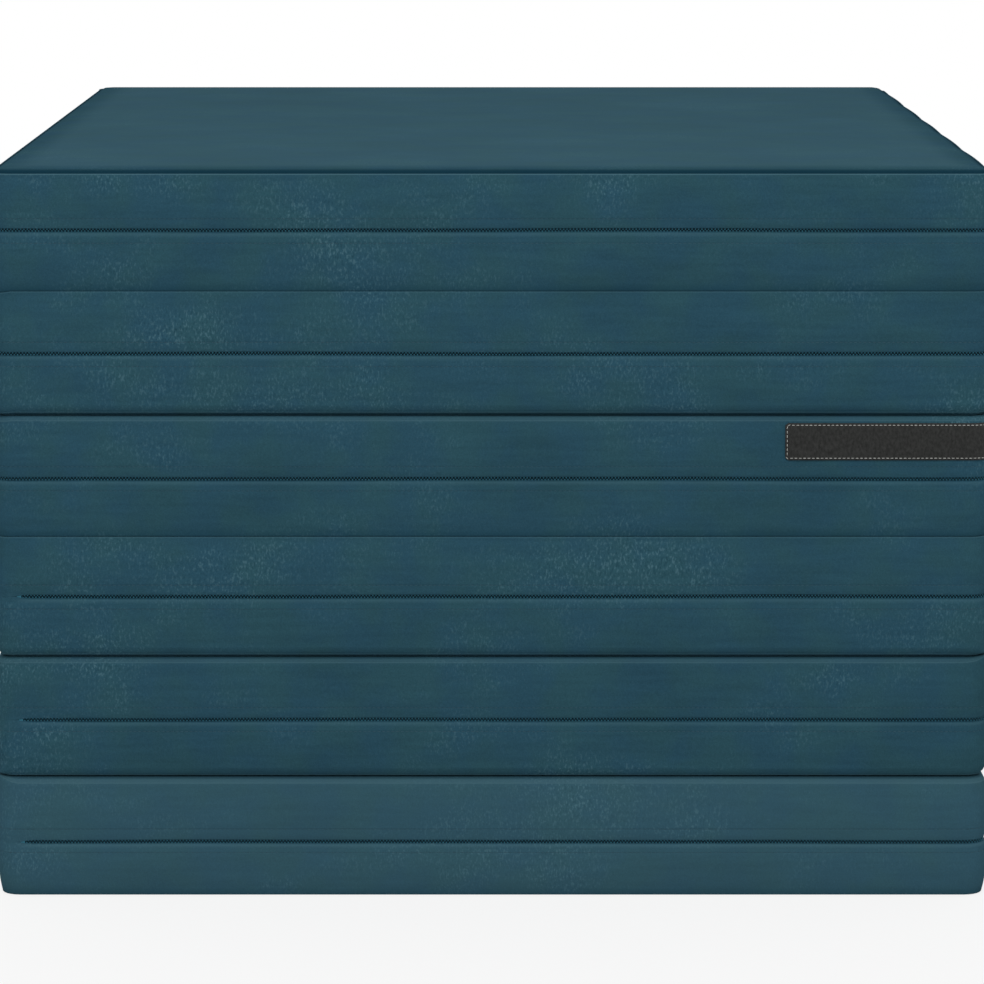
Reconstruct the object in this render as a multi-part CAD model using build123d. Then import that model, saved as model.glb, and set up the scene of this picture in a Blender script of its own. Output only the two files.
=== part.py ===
from build123d import *
from math import cos, radians, sin, sqrt
import os

# Folding sofa bed: a stack of foam panels in zipped velour covers, joined edge to edge by
# strips of cloth, so that the stack opens out to a bench, a single bed or a double bed.
# The origin is on the floor under the middle of the folded stack. X runs from left to
# right, Y from front to back and Z up. All lengths are millimetres.

# Panels from the floor up: the front corners that the zip goes round, and which one is labelled
zip_corners = ["right", "right", "right", "both", "both", "both"]
has_label = [False, False, False, True, False, False]
panel_count = len(zip_corners)
panel_width = 660.0
panel_depth = 800.0
panel_thickness = 80.0
panel_gap = 0.4  # air between two panels that lie on each other
corner_radius = 16.0  # upright corners, seen from above
roll_radius = 7.5  # rolled edge round the top and bottom faces
side_draw = 1.8  # how far the sides are drawn in at the zip and at the edges
cloth = 1.0  # cover cloth with its backing
soft_clearance = 0.3  # between soft pieces that lie against each other
overrun = 5.0  # how far a cutting shape runs past what it cuts

# Zip in the middle of the sides
zip_opening = 3.2  # height of the slot between the two halves of the cover
lip_radius = 0.9  # the folded edge of the cloth along the zip or the sewn seam
hem_height = 10.0  # cloth turned in along the slot, which the tape is sewn to
tape_height = 14.0
tape_thickness = 0.6
row_gap = 0.9  # way for the slider's post between the two rows of teeth
row_recess = 0.2  # how far the teeth lie behind the lips
stop_length = 3.0
zip_end_to_back = 60.0  # from the end of the slot to the rear corner, on the right
left_zip_run = 420.0  # on the panels whose zip also goes round the left corner

# Zip slider and its pull, parked at the rear end of the right side
slider_length = 11.0
slider_width = 8.0
slider_plate = 0.9
slider_corner = 2.4
post_length = 4.0
post_thickness = 0.5
slider_play = 0.5  # between the parked slider and the end stop
bail_wall = 0.45
bail_width = 2.4
bar_diameter = 0.6
bar_play = 0.2
pull_side_play = 0.3  # between the bail and the pull's two arms
pull_arm = 1.1
pull_window = 2.2  # from the bar to the far side of the opening that clears the bail
pull_length = 21.0
pull_corner = 2.4
pull_end_hole = 2.0
pull_end_wall = 2.0

# Cloth strips that join the panels: which side each fold turns about, from the floor up
fold_sides = ["left", "right", "back", "right", "left"]
strip_height = 22.0  # sewn to each of the two panels
strip_thickness = 1.0
strip_corner = 3.0
strip_split = 0.3  # between the part that rides on one panel and the part on the next
strip_behind_label = 14.0

# Label, bare, wrapped round the front right corner of one panel
label_thickness = 0.8
label_height = 22.2
label_below_top = 5.4
label_front_run = 138.0  # from the right side, along the front
label_side_run = 42.0  # from the front, along the right side
label_corner = 2.0

half_x = panel_width / 2 - corner_radius
half_y = panel_depth / 2 - corner_radius
half_thickness = panel_thickness / 2
pitch = panel_thickness + panel_gap

# Depths at the zip, as distances from the axis of an upright corner
lip_face = corner_radius - side_draw
hem_back = lip_face - 2 * cloth
tape_front = hem_back - soft_clearance
tape_back = tape_front - tape_thickness
slider_back = tape_back - soft_clearance - slider_plate
row_face = lip_face - row_recess
row_height = zip_opening / 2 - soft_clearance
belly_radius = ((half_thickness / 2) ** 2 + side_draw**2) / (2 * side_draw)

# Outward angle, seen from above, and the middle of each side of a panel's inner rectangle
side_angles = {"front": -90, "right": 0, "back": 90, "left": 180}
side_middles = {
    "front": (0, -half_y),
    "right": (half_x, 0),
    "back": (0, half_y),
    "left": (-half_x, 0),
}
# Each corner starts at the side named first and turns a quarter to the second
corner_centres = {
    "front_right": (half_x, -half_y),
    "right_back": (half_x, half_y),
    "back_left": (-half_x, half_y),
    "left_front": (-half_x, -half_y),
}


def block(low, high):
    """A box between two corners."""
    size = [b - a for a, b in zip(low, high)]
    middle = [(a + b) / 2 for a, b in zip(low, high)]
    return Pos(*middle) * Box(*size)


def rect(low_u, high_u, low_z, high_z):
    """A rectangle of a side profile: u is the distance from the corner's axis."""
    middle = Pos((low_u + high_u) / 2, (low_z + high_z) / 2)
    return middle * Rectangle(high_u - low_u, high_z - low_z)


def profile_plane(angle, origin):
    """The upright plane of a side profile, with u pointing out of the panel."""
    out = (cos(radians(angle)), sin(radians(angle)), 0)
    along = (sin(radians(angle)), -cos(radians(angle)), 0)
    return Plane(origin=origin, x_dir=out, z_dir=along)


def straight(profile, side, low, high, z=0):
    """The profile run along one side, between two places given as X or Y."""
    angle = side_angles[side]
    middle_x, middle_y = side_middles[side]
    if side == "front":
        origin = (high, middle_y, z)
    elif side == "back":
        origin = (low, middle_y, z)
    elif side == "right":
        origin = (middle_x, high, z)
    else:
        origin = (middle_x, low, z)
    plane = profile_plane(angle, origin)
    return extrude(plane * profile, amount=high - low, dir=plane.z_dir)


def turn(profile, corner, z=0):
    """The profile turned a quarter round one corner."""
    x, y = corner_centres[corner]
    plane = profile_plane(side_angles[corner.split("_")[0]], (x, y, z))
    axis = Axis((x, y, z), (0, 0, 1))
    return revolve(plane * profile, axis=axis, revolution_arc=90)


def band(profile, path, z=0):
    """The profile along a path of straight runs and corners, as one solid."""
    runs, corners = path
    pieces = [straight(profile, side, low, high, z) for side, low, high in runs]
    pieces += [turn(profile, corner, z) for corner in corners]
    return joined(pieces)


def joined(pieces):
    whole = pieces[0]
    for piece in pieces[1:]:
        whole = whole + piece
    return whole


def face_drop(z):
    """How far the bellied side lies inside its widest place, at a height over the zip."""
    return belly_radius - sqrt(belly_radius**2 - (z - half_thickness / 2) ** 2)


def half_outline():
    """Upper half of a panel's side: bellied between the zip and the rolled edge."""
    lip = (lip_face, 0)
    belly = (corner_radius, half_thickness / 2)
    edge = (lip_face, half_thickness)
    lines = [
        Line((0, 0), lip),
        ThreePointArc(lip, belly, edge),
        Line(edge, (0, half_thickness)),
        Line((0, half_thickness), (0, 0)),
    ]
    outline = make_face(lines)
    corners = outline.vertices().filter_by(lambda v: v.X > 0)
    return fillet(corners.sort_by(Axis.Y)[-1], roll_radius)


def inner_outline(inset):
    """The half outline drawn in all round, and open to the corner's axis and to the zip."""
    inner = offset(half_outline(), amount=-inset)
    inner += rect(-overrun, lip_face - roll_radius, -overrun, half_thickness - inset)
    return inner + rect(-overrun, hem_back, -overrun, hem_height)


def wall_profile(opening):
    """Section of one half of the cover: face cloth, side cloth and the hem at the slot."""
    outline = half_outline() - rect(-overrun, corner_radius, -overrun, opening / 2)
    lips = outline.vertices().filter_by(lambda v: v.X > 0).sort_by(Axis.Y)
    outline = fillet(lips[0], lip_radius)
    hollow = inner_outline(cloth)
    hollow -= rect(hem_back, corner_radius + overrun, -overrun, hem_height)
    return outline - hollow


def core_profile():
    """Section of the foam at a side, with room for the zip's tapes and slider."""
    upper = inner_outline(cloth + soft_clearance)
    upper -= rect(-2 * overrun, 0, -2 * overrun, panel_thickness)
    upper -= rect(tape_back - soft_clearance, corner_radius, -overrun, tape_height + cloth)
    upper -= rect(slider_back - soft_clearance, corner_radius, -overrun, slider_width)
    upper -= rect(-overrun, corner_radius, -2 * overrun, 0)
    return upper + mirror(upper, about=Plane.XZ)


def zip_path(panel, inset):
    """Where one panel's zip runs, drawn in at both ends."""
    rear = half_y - zip_end_to_back - inset
    if zip_corners[panel - 1] == "both":
        left = ("left", -half_y, left_zip_run - half_y - inset)
        runs = [left, ("front", -half_x, half_x), ("right", -half_y, rear)]
        return runs, ["left_front", "front_right"]
    return [("front", inset - half_x, half_x), ("right", -half_y, rear)], ["front_right"]


def seam_path(panel):
    """The rest of the way round, where the two halves of the cover are sewn together."""
    rear = half_y - zip_end_to_back
    runs = [("right", rear, half_y), ("back", -half_x, half_x)]
    if zip_corners[panel - 1] == "both":
        runs.append(("left", left_zip_run - half_y, half_y))
        return runs, ["right_back", "back_left"]
    runs.append(("left", -half_y, half_y))
    return runs, ["right_back", "back_left", "left_front"]


def upper_half_cover(panel):
    """A shallow tray of cloth, open at the middle of the panel's height."""
    zipped = band(wall_profile(zip_opening), zip_path(panel, 0))
    sewn = band(wall_profile(0), seam_path(panel))
    face = block(
        (-half_x, -half_y, half_thickness - cloth), (half_x, half_y, half_thickness)
    )
    return zipped + sewn + face


def foam_core():
    every_side = [(s, -half_x, half_x) for s in ("front", "back")]
    every_side += [(s, -half_y, half_y) for s in ("right", "left")]
    rim = band(core_profile(), (every_side, list(corner_centres)))
    top = half_thickness - cloth - soft_clearance
    return rim + block((-half_x, -half_y, -top), (half_x, half_y, top))


def zip_tapes(panel):
    """Two tapes behind the hems, one above and one below the slot."""
    section = rect(tape_back, tape_front, row_gap / 2, tape_height)
    upper = band(section, zip_path(panel, soft_clearance))
    return [upper, mirror(upper, about=Plane.XY)]


def zip_coils(panel):
    """The two rows of teeth, and a stop at each end that ties them together."""
    section = rect(tape_front, row_face, row_gap / 2, row_height)
    upper = band(section, zip_path(panel, stop_length + 2 * soft_clearance))
    stop = rect(tape_front, row_face, -row_height, row_height)
    rear = half_y - zip_end_to_back - soft_clearance
    rear_stop = straight(stop, "right", rear - stop_length, rear)
    if zip_corners[panel - 1] == "both":
        end = left_zip_run - half_y - soft_clearance
        far_stop = straight(stop, "left", end - stop_length, end)
    else:
        end = soft_clearance - half_x
        far_stop = straight(stop, "front", end, end + stop_length)
    return [upper, mirror(upper, about=Plane.XY), rear_stop, far_stop]


# Place of the parked slider, and heights on it measured out from the corner's axis
slider_y = half_y - zip_end_to_back - stop_length - 2 * soft_clearance
slider_y -= slider_play + slider_length / 2
plate_back = corner_radius - face_drop(slider_width / 2) + soft_clearance
plate_front = plate_back + slider_plate
tunnel_half = bar_diameter / 2 + bar_play
bar_out = plate_front + tunnel_half


def upright_plate(outline, low_out, high_out):
    """An outline in length and height, as a plate that stands against the right side."""
    plane = Plane(origin=(half_x + low_out, slider_y, 0), x_dir=(0, -1, 0), z_dir=(1, 0, 0))
    return extrude(plane * outline, amount=high_out - low_out, dir=(1, 0, 0))


def zip_slider():
    """Inner and outer plate with a post between them, and a bail for the pull."""
    plate = RectangleRounded(slider_length, slider_width, slider_corner)
    inner = upright_plate(plate, slider_back, slider_back + slider_plate)
    outer = upright_plate(plate, plate_back, plate_front)
    post = upright_plate(Rectangle(post_length, post_thickness), slider_back, plate_front)
    reach = tunnel_half + bail_wall
    hoop = upright_plate(Rectangle(2 * reach, bail_width), plate_back, bar_out + reach)
    tunnel = Rectangle(2 * tunnel_half, bail_width + overrun)
    hoop -= upright_plate(tunnel, plate_front, bar_out + tunnel_half)
    return inner + outer + post + hoop


def zip_pull():
    """A flat tab that turns on a bar through the slider's bail."""
    inner_half = bail_width / 2 + pull_side_play
    width = 2 * (inner_half + pull_arm)
    tab = Pos(pull_length / 2) * RectangleRounded(pull_length, width, pull_corner)
    tab += Pos(pull_length / 4) * Rectangle(pull_length / 2, width)
    tab -= Pos(pull_window / 2) * Rectangle(pull_window, 2 * inner_half)
    hole_from_end = pull_end_wall + pull_end_hole / 2
    tab -= Pos(pull_length - hole_from_end) * Circle(pull_end_hole / 2)
    flat = upright_plate(tab, bar_out - bar_diameter / 2, bar_out + bar_diameter / 2)
    bar = Cylinder(bar_diameter / 2, width)
    return flat + Pos(half_x + bar_out, slider_y, 0) * bar


def strip_leaf(fold, upward):
    """The part of a joining strip that is sewn to the panel above or below the fold."""
    side = fold_sides[fold - 1]
    level = fold * pitch - panel_gap / 2
    seat = corner_radius + soft_clearance
    low_z, high_z = strip_split / 2, strip_height
    if not upward:
        low_z, high_z = -high_z, -low_z
    section = rect(seat, seat + strip_thickness, low_z, high_z)
    low, high = -half_y, half_y
    if side == "back":
        low, high = -half_x, half_x
    elif side == "right" and (has_label[fold - 1] or has_label[fold]):
        low = label_side_run + strip_behind_label - panel_depth / 2
    leaf = straight(section, side, low, high, level)
    ends = Axis.X if side in ("left", "right") else Axis.Y
    free = leaf.edges().filter_by(ends).group_by(Axis.Z)[-1 if upward else 0]
    return fillet(free, strip_corner)


def label_patch():
    """A strip of canvas round the front right corner."""
    top = half_thickness - label_below_top
    seat = corner_radius + soft_clearance
    section = rect(seat, seat + label_thickness, top - label_height, top)
    runs = [
        ("front", panel_width / 2 - label_front_run, half_x),
        ("right", -half_y, label_side_run - panel_depth / 2),
    ]
    patch = band(section, (runs, ["front_right"]))
    across_front = patch.edges().filter_by(Axis.Y).group_by(Axis.X)[0]
    across_side = patch.edges().filter_by(Axis.X).group_by(Axis.Y)[-1]
    return fillet(across_front + across_side, label_corner)


def middle_of(panel):
    """Height of the middle of a panel over the floor."""
    return (panel - 1) * pitch + half_thickness


def save(name, pieces, place=Pos()):
    placed = [place * piece for piece in pieces]
    shape = placed[0] if len(placed) == 1 else Compound(children=placed)
    export_step(shape, f"parts/{name}.step")


os.makedirs("parts", exist_ok=True)
core, slider, pull = foam_core(), zip_slider(), zip_pull()
for panel in range(1, panel_count + 1):
    place = Pos(0, 0, middle_of(panel))
    cover = upper_half_cover(panel)
    save(f"panel_{panel}_foam_core", [core], place)
    save(f"panel_{panel}_upper_cover", [cover], place)
    save(f"panel_{panel}_lower_cover", [mirror(cover, about=Plane.XY)], place)
    save(f"panel_{panel}_zip_tapes", zip_tapes(panel), place)
    save(f"panel_{panel}_zip_coils", zip_coils(panel), place)
    save(f"panel_{panel}_zip_slider", [slider], place)
    save(f"panel_{panel}_zip_pull", [pull], place)
    if has_label[panel - 1]:
        save("label_patch", [label_patch()], place)
for fold in range(1, panel_count):
    save(f"fold_{fold}_lower_strip", [strip_leaf(fold, upward=False)])
    save(f"fold_{fold}_upper_strip", [strip_leaf(fold, upward=True)])
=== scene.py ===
from math import cos, pi, radians, sin

import bmesh
import bpy
import numpy as np
from mathutils import Matrix, Vector


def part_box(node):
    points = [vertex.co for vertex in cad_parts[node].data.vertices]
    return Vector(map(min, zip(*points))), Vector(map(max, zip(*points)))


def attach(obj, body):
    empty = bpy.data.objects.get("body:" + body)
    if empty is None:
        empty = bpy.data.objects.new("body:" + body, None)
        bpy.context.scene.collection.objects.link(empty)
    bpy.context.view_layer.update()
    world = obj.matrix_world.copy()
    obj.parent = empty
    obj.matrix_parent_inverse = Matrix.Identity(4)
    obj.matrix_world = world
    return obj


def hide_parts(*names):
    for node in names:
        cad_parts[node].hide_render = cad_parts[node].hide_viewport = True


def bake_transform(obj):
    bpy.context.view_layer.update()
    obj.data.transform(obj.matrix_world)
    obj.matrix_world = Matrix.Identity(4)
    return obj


# Folding sofa bed: six foam panels in zipped teal velour covers, joined by strips of cloth.
# Settings are in millimetres and degrees, and meshes are scaled to metres when they are made.
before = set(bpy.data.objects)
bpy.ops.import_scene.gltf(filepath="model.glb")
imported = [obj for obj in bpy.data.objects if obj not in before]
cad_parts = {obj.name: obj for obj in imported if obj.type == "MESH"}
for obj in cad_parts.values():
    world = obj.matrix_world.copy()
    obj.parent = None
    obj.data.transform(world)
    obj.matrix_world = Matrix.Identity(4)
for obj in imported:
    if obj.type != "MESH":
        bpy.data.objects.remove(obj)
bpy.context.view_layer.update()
mm = 0.001

camera = {
    "place": (0, -3127, 723),
    "pitch": 8.053,
    "lens": 154.2,
    "sensor": 36,
    "shift": -0.1,  # the photograph's verticals are parallel, which takes a larger shift
}

cover = {
    "cornerRadius": 16,
    "rollRadius": 7.5,  # rolled edge beside an open gap
    "tightRoll": 0.9,  # rolled edge that is pressed against the next panel
    "swell": {"open": 0.17, "tight": 0.19},  # how far a face swells into the gap to the next panel
    "sideDraw": 1.8,  # how far each half of a side is drawn in at the zip and at the edge
    "bulge": 1.4,  # how far the whole side leans in at its edges
    "slotHalf": 1.0,  # half the opening over the teeth
    "slotLeast": 0.02,  # what is left of it beyond the zip's ends
    "slotDepth": 3.1,
    "slotShade": 0.6,
    "lipRadius": 0.7,
    "columnStep": 5,
    "cornerColumns": 3,  # in half a corner
    "faceInset": 12,  # where the face grid starts, from the widest place of the side
    # how a strip's end draws two open edges together, from how far under the face
    "pull": {"share": 0.9, "reach": 14, "from": 10, "over": 5},
    "stitchHeight": 8,  # of the sewn line over and under the zip
    "stitchGroove": 0.18,
    "grooveHalf": 0.35,
    "sideHeights": (4.6, 5.8, 7, 7.4, 7.7, 8, 8.3, 8.6, 9, 10.5),  # points near that line
    "stitchBeyond": 14,  # past the ends of the zip
    "ridge": 0.45,  # the seam along a rolled edge
    "ridgeTurn": 2.2,  # and half its width, in degrees
    "seams": {"top": 28, "bottom": 56},  # where that seam lies on the roll, in degrees
    "tapeBeyond": 20,  # how far the sewn line's groove goes past the zip's ends
    "lipHighlight": {"most": 0.3, "under": 2.2, "half": 0.5},  # a painted highlight along the line under the opening
    "zipTaper": 9,
    "filled": 0.9,  # how much of the draw at the zip the side fills out past the zip's ends
    "filledBeyond": 8,  # how far past them that starts
    "filledHalf": 20,  # and up to which height
    "waves": (0.45, 0.3, 0.2, 0.12),  # the parts of any unevenness round a panel
    "sideWave": 0.35,
    "waveSpan": (6, 34),  # from which height over the zip the side is uneven, and how far up
    "edgeWave": 0.3,
    "edgeWaveReach": 10,  # of the zip's edges, up to which height
    "faceWave": 0.5,
    "restWave": 0.15,  # share of it on faces that another panel or the floor flattens
    "crown": 1.8,
    "crownReach": 34,
    "overhang": 0.45,  # shade on an edge that lies over a tight gap
    "rimLight": 0.25,  # painted light on the edge under one
    "faceShade": 8,  # how far in a face is dark from the gap round it
    # painted light that makes the top face lighter, as light from above does
    "topPaintedLight": 0.39,
}

# Where painted shade and light lie on a rolled edge, by angles from 0 at the side to 90 at the face
rolledEdge = {
    "turns": (5, 10, 15, 38, 47, 66, 75, 90),
    "seamTurns": (-6, -3, 0, 3, 6),  # round its seam
    "shade": {"most": 0.45, "place": 66, "half": 7},
    # painted light deep between two rolled edges, where shade falls
    "paintedLight": {"open": 0.5, "tight": 0.4, "from": 68, "over": 14},
    # a painted highlight on the seam's ridge
    "seamHighlight": {"top": 0.9, "bottom": 1.3},
    "lit": {"most": 0.3, "from": 20, "rise": 10, "to": 62, "fall": 12},  # under an open gap
}

# The top panel's upper edge: a lip, a crease behind it, and the crown that rises from the crease
crease = {
    "sideEnd": 3.6,  # under the face, where the side goes over into the lip
    "lipRadius": 0.9,
    "lipDepth": 2,
    "lipTurns": (0, 30, 60, 90, 130, 180),
    # a painted highlight along the top of the lip
    "lipHighlight": 0.7,
    "valley": ((2.2, -2.4, 1), (2.9, -2.0, 1), (3.6, -1.0, 1),
               (4.6, 0.0, 1), (5.8, 0.75, 0.85), (7.3, 1.25, 0.4)),  # inward, rise and shade
    "rise": 1.7,
    "from": 30,  # height over the middle where it is shaped
    "fade": 60,  # run over which a shape fades in at the end of a side
    # the wavy edge on the right
    "scallop": {"length": 138, "depth": 1.1, "least": 0.6, "start": 20, "over": 8},
    # on the left and behind
    "closed": {"height": 1.4, "place": 2.6, "half": 1.5, "shade": 0.85, "start": 60, "fall": 8},
    # the pointed corner behind on the left
    "point": {"reach": 3, "half": 9, "from": 22, "over": 14},
}

# For each panel from the floor up: how far its zip lies over the middle, what its edges are
# like below and above, where its zip starts, and how much painted light brightens it
panels = [
    {"zip": -3.6, "bottom": "tight", "top": "open", "zipStart": -1, "paintedBrighter": 0.27},
    {"zip": -1.3, "bottom": "open", "top": "open", "zipStart": -1},
    {"zip": 1.1, "bottom": "open", "top": "tight", "zipStart": -1},
    {"zip": -0.8, "bottom": "tight", "top": "open", "zipStart": -445},
    {"zip": 1.5, "bottom": "open", "top": "tight", "zipStart": -445},
    {"zip": 2.2, "bottom": "tight", "top": "crease", "zipStart": -445},
]
zipEndToBack = 60

# How lines leave their CAD heights at the front, to lie where they are seen
lines = {
    "gaps": [0, 0, 1.0, 0.8, 1.6, 2.5, 0],  # how far each gap moves up, from the floor up
    "zipFade": 26,  # height over the zip where the zip's own move has faded
    "gapFade": (12, 24),  # height over the zip where a gap's move starts, and over what rise
    # outward distances between which an edge starts to move, so that faces stay level
    "edgeFade": {"tight": (-5, -3.2), "open": (-9, -4), "crease": (-9, -4)},
    "slider": (18, 30),  # behind the front right corner, over what run the zip gets back
    "levelReach": 15,  # round the strips' ends, where the first panel's gap stays level
}

teeth = {
    "spacing": 2.14,
    "length": 1.2,
    "thickness": 1.0,
    "slant": 24,
    "spread": 0.62,
    "behind": 2.6,  # from the widest place of the side
    "stop": (3, 2.6, 1.5),  # its run, height and depth
    "stopFromEnd": 3.5,
    "stopBevel": 0.35,
}

stitch = {"spacing": 3.1, "length": 2.3, "thickness": 0.5, "slant": 90, "spread": 0}
tapeStitch = dict(stitch, length=2.2, thickness=0.4, inGroove=0.08)

strip = {
    "thickness": 1,
    "corner": 3,
    "sunk": 0.15,  # how much of the thickness lies in the panels
    "bow": 1.1,  # drawn in over the gap between two panels
    "bowHalf": 5.5,
    "waves": ((0.25, 37), (0.15, 13)),  # how uneven that is, and over what lengths
    "foldShade": 0.35,
    "foldShadeHalf": 3,
    "turnHalf": 1.5,  # height over the fold where it goes over from one panel to the other
    "step": 6,
    "rows": 34,
    "hem": 3,
    "hemHalf": 0.8,
    "hemDepth": 0.18,
    "seamPoints": 60,
    "stitchSunk": 0.02,
    "stitch": stitch,
}

label = {
    "panel": 4,
    "thickness": 0.8,
    "clearance": 0.2,
    "corner": 2,
    "step": 2.4,
    "rows": 18,
    "hem": 1.25,
    "hemDepth": 0.14,
    "stitchSunk": 0.05,
    "stitch": dict(stitch, spacing=2.88, length=2.15),
}

core = {"inset": 7, "faceInset": 4, "bevel": 6}


def smooth(x):
    x = np.clip(x, 0, 1)
    return x * x * (3 - 2 * x)


def bell(x, place, half):
    return np.exp(-(((x - place) / half) ** 2))


# The plan of a panel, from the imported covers
lowCorner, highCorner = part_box("panel_1_lower_cover")
quarter = (highCorner.z - lowCorner.z) / 2 / mm  # of a panel's thickness
halfX = highCorner.x / mm - cover["cornerRadius"]
halfY = highCorner.y / mm - cover["cornerRadius"]
cornerRun = pi / 2 * cover["cornerRadius"]
sideRuns = [2 * halfX, 2 * halfY, 2 * halfX, 2 * halfY]
roundRun = sum(sideRuns) + 4 * cornerRun
zipEnd = sideRuns[0] + cornerRun + sideRuns[1] - zipEndToBack
corners = np.array([(halfX, -halfY), (halfX, halfY), (-halfX, halfY), (-halfX, -halfY)])
backStart = sum(sideRuns[:2]) + 2 * cornerRun

# Where the strips on the left and right end, beside the gaps over the first and second panel
pulled = {1: (roundRun - 0.9 * cornerRun, sum(sideRuns[:3]) + 2.9 * cornerRun),
          2: (sideRuns[0] + 0.9 * cornerRun, sum(sideRuns[:2]) + 1.1 * cornerRun)}


# Places round a panel: distance 0 is the left end of the front, and it grows to the right
def around(distance):
    distance = np.mod(np.asarray(distance, float), roundRun)
    base = out = np.zeros((len(distance), 2))
    start, angle = 0.0, -pi / 2
    for side, run in enumerate(sideRuns):
        tail, head = corners[side - 1], corners[side]
        here = (distance >= start) & (distance <= start + run)
        share = ((distance - start) / run)[:, None]
        base = np.where(here[:, None], tail + (head - tail) * share, base)
        out = np.where(here[:, None], [cos(angle), sin(angle)], out)
        start += run
        here = (distance > start) & (distance < start + cornerRun)
        turn = angle + (distance - start) / cornerRun * pi / 2
        base = np.where(here[:, None], head, base)
        out = np.where(here[:, None], np.stack([np.cos(turn), np.sin(turn)], 1), out)
        start += cornerRun
        angle += pi / 2
    return base, out


# Gentle unevenness round a panel that closes on itself
def wave(distance, seed, counts=(5, 9, 14, 23)):
    phases = np.random.default_rng(seed).uniform(0, 2 * pi, len(counts))
    turns = 2 * pi * np.asarray(distance) / roundRun
    return sum(a * np.sin(c * turns + p) for a, c, p in zip(cover["waves"], counts, phases))


# 1 along a zip and 0 past its ends
def zipShare(distance, settings, beyond=0):
    distance = np.mod(distance + roundRun / 4, roundRun) - roundRun / 4
    fromStart, fromEnd = distance - settings["zipStart"], zipEnd - distance
    return smooth((np.minimum(fromStart, fromEnd) + beyond) / cover["zipTaper"])


# How far a side lies out at a height over the middle: a belly over and one under the zip
def sideOut(height):
    radius = (quarter**2 + cover["sideDraw"] ** 2) / (2 * cover["sideDraw"])
    belly = np.sqrt(np.maximum(radius**2 - (np.abs(height) - quarter) ** 2, 0)) - radius
    return belly - cover["bulge"] * (height / quarter / 2) ** 2


# Unevenness of a side, and how it fills out beyond the ends of its zip
def sway(number, distance, height):
    start, run = cover["waveSpan"]
    side = np.sin(np.clip((np.abs(height) - start) / run, 0, 1) * pi) * cover["sideWave"]
    seed = 10 * number
    above, below = wave(distance, seed + 1, (11, 17, 29)), wave(distance, seed + 2, (8, 19, 31))
    rough = side * (wave(distance, seed) + 0.5 * np.where(height > 0, above, below))
    pastZip = 1 - zipShare(distance, panels[number - 1], cover["filledBeyond"])
    filled = cover["filled"] * pastZip * cover["sideDraw"]
    return rough + filled * np.clip(1 - (height / cover["filledHalf"]) ** 2, 0, 1) ** 2


# How much of its own height the zip has at a place: all at the front, none where the slider runs
def zipOwn(distance):
    start, run = lines["slider"]
    distance = np.mod(distance, roundRun)
    alongRight = smooth((distance - sideRuns[0] - start) / run)
    return 1 - alongRight + smooth((distance - backStart) / sideRuns[2])


# How far heights over a panel's middle move up, so that its lines lie where they are seen
def lift(number, distance, height):
    fade = 1 - smooth(np.abs(height) / lines["zipFade"])
    moved = panels[number - 1]["zip"] * zipOwn(distance) * fade
    start, run = lines["gapFade"]
    above = lines["gaps"][number] * smooth((height - start) / run)
    below = lines["gaps"][number - 1] * smooth((-height - start) / run)
    # unfolded, the fifth panel lies on edges of the second that a strip draws together
    level = sum(bell(distance, place, lines["levelReach"]) for place in pulled[1])
    return moved + (1 - level) * (above + below)


# The opening over the teeth with its lip, and the side up to its edge
def addSide(add, slot, taped, top, overhang):
    opened = slot / cover["slotHalf"]
    lip, heights = cover["lipRadius"], cover["sideHeights"]
    back = -cover["sideDraw"] - cover["slotDepth"] * opened
    add(back, 0, cover["slotShade"] * opened)
    add(back, slot, cover["slotShade"] * opened)
    for angle in (-90, -60, -30, 0):
        turn = radians(angle)
        n = sideOut(lip) - lip * opened * (1 - cos(turn))
        add(n, slot + lip + lip * sin(turn), opened * (-angle / 90) ** 2)
    for height in (slot + lip + 0.5, *heights):
        groove = bell(height, cover["stitchHeight"], cover["grooveHalf"]) * cover["stitchGroove"] * taped
        add(sideOut(height) - groove, height, groove * 0.4)
    for share in (0.1, 0.25, 0.4, 0.55, 0.7, 0.85, 1):
        height = heights[-1] + (top - heights[-1]) * share
        add(sideOut(height), height, overhang * smooth((share - 0.8) / 0.2))


def addCrease(add, thick):
    radius, middle = crease["lipRadius"], thick - crease["lipDepth"]
    for angle in crease["lipTurns"]:
        turn = radians(angle)
        # painted shade under the lip and a painted highlight along its top
        add(sideOut(middle) - radius + radius * cos(turn), middle + radius * sin(turn),
            0.9 if angle > 120 else 0, crease["lipHighlight"] if 20 < angle < 100 else 0)
    for inward, rise, shade in crease["valley"]:
        add(-cover["sideDraw"] - inward, thick + rise, shade)
    add(-cover["faceInset"], thick + crease["rise"])


# A rolled edge with its seam
def addRoll(add, style, edge, roll, thick, overhang):
    isOpen, seam, swell = style == "open", cover["seams"][edge], cover["swell"][style]
    middle = sideOut(thick - roll) - roll
    dark, lightBand, lit = (rolledEdge[part] for part in ("shade", "paintedLight", "lit"))
    for angle in sorted([*rolledEdge["turns"], *(seam + k for k in rolledEdge["seamTurns"])]):
        turn = radians(angle)
        bump = bell(angle, seam, cover["ridgeTurn"]) * cover["ridge"] * isOpen
        shade = dark["most"] * bell(angle, dark["place"], dark["half"]) * isOpen + overhang
        # painted light deep in the gap, a painted highlight on the seam, and painted light on upper
        # edges
        paintedLight = lightBand[style] * smooth((angle - lightBand["from"]) / lightBand["over"])
        paintedLight += bump * rolledEdge["seamHighlight"][edge]
        if edge == "top":
            inLight = smooth((angle - lit["from"]) / lit["rise"])
            inLight = lit["most"] * inLight * smooth((lit["to"] - angle) / lit["fall"])
            paintedLight += inLight if isOpen else cover["rimLight"]
        reach, rise = roll + bump, swell * smooth(angle / 90)
        add(middle + reach * cos(turn), thick - roll + reach * sin(turn) + rise, shade, paintedLight)
    if not isOpen:
        add(lines["edgeFade"][style][0], thick + swell)
    add(-cover["faceInset"], thick + swell)
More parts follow.
